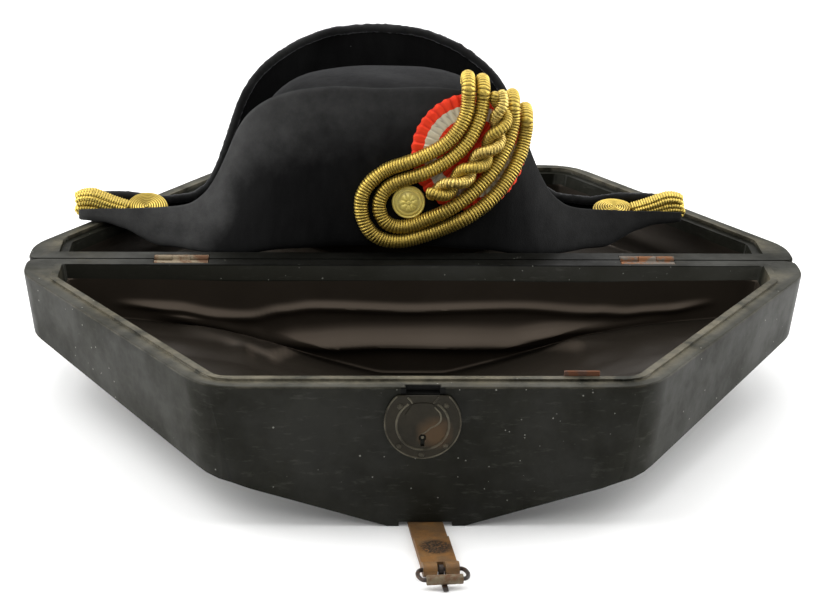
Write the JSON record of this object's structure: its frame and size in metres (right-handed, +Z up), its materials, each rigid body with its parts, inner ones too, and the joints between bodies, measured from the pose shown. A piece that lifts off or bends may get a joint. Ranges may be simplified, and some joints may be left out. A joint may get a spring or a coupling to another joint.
{
  "type": "bicorne in an open hat case",
  "caption": "Black felt bicorne with gold cord loops, pleated cockade, button and bullion tassels, standing in one half of its hinged lacquered case.",
  "frame": {"origin": "centre of the flat foot under the case's back half, the tray", "axes": "+Z up, +X along the hinge line, +Y from the lid over the hinge towards the back of the tray"},
  "size_m": [0.544, 0.5923, 0.2259],
  "materials": {
    "felt": "brushed black felt",
    "silk": "pleated silk ribbon, red with a pale ring",
    "bullion": "tarnished gold wire winding",
    "gilt": "worn gilding",
    "lacquer": "worn black lacquer",
    "lining_cloth": "dark brown cloth",
    "rusty_iron": "rusted iron",
    "dark_bronze": "dark patina",
    "buckle_iron": "dark rusted iron",
    "strap_leather": "worn tan leather"
  },
  "bodies": {
    "tray": {"tray_shell": "lacquer", "tray_lining": "lining_cloth", "hinge_tray_left": "rusty_iron", "hinge_tray_right": "rusty_iron", "brim": "felt", "crown": "felt", "cockade": "silk", "loop_outer": "bullion", "loop_inner": "bullion", "twist_a": "bullion", "twist_b": "bullion", "button": "gilt", "tassel_fringe_left": "bullion", "tassel_disc_left": "bullion", "tassel_fringe_right": "bullion", "tassel_disc_right": "bullion"},
    "lid": {"lid_shell": "lacquer", "lid_lining": "lining_cloth", "hinge_lid_left": "rusty_iron", "hinge_lid_right": "rusty_iron", "lock_plate": "dark_bronze", "catch_plate": "rusty_iron", "strap": "strap_leather", "buckle_frame": "buckle_iron", "buckle_roller": "strap_leather", "buckle_prong": "buckle_iron"}
  },
  "joints": [
    {"name": "lid_hinge", "type": "hinge", "parent": "tray", "child": "lid", "pos_m": [0, -0.1255, 0.092], "axis": [-1, 0, 0], "range_deg": [0, 100]}
  ]
}
